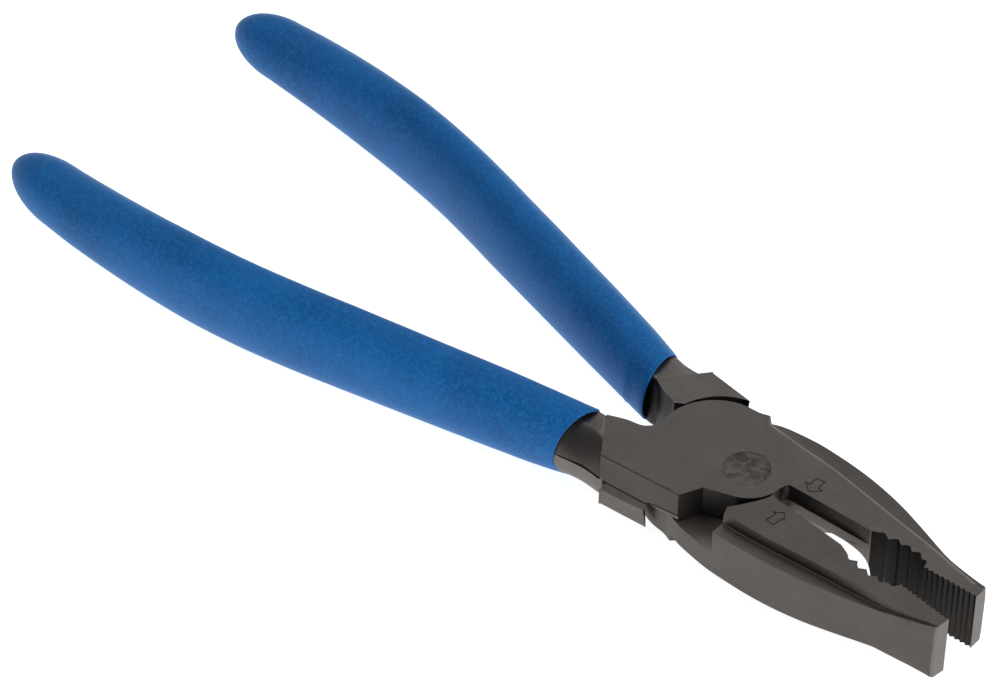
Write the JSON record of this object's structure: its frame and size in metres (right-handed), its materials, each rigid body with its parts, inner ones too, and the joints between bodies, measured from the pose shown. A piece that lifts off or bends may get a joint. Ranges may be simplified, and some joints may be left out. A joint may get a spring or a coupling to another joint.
{
  "type": "lineman pliers",
  "caption": "Combination pliers with lapped forged halves on a flush pivot rivet, toothed jaws with a grip hole and side cutter, and dipped soft handle sleeves.",
  "frame": {"origin": "pivot axis of the two halves, at the underside of the head", "axes": "+X from the pivot towards the jaw tips, +Y across the head towards the upper half's jaw, +Z along the pivot axis, from the underside of the head to its cutter side"},
  "size_m": [0.1982, 0.0686, 0.018],
  "materials": {
    "phosphated_steel": "dark satin, ground faces",
    "rivet_steel": "dark satin, turned face",
    "dipped_vinyl": "matte dipped vinyl"
  },
  "bodies": {
    "upper": {"upper_half": "phosphated_steel", "upper_half_sleeve": "dipped_vinyl", "pivot_rivet": "rivet_steel"},
    "lower": {"lower_half": "phosphated_steel", "lower_half_sleeve": "dipped_vinyl"}
  },
  "joints": [
    {"name": "pivot", "type": "hinge", "parent": "upper", "child": "lower", "pos_m": [0, 0, 0], "axis": [0, 0, -1], "range_deg": [-8.4, 33]}
  ]
}
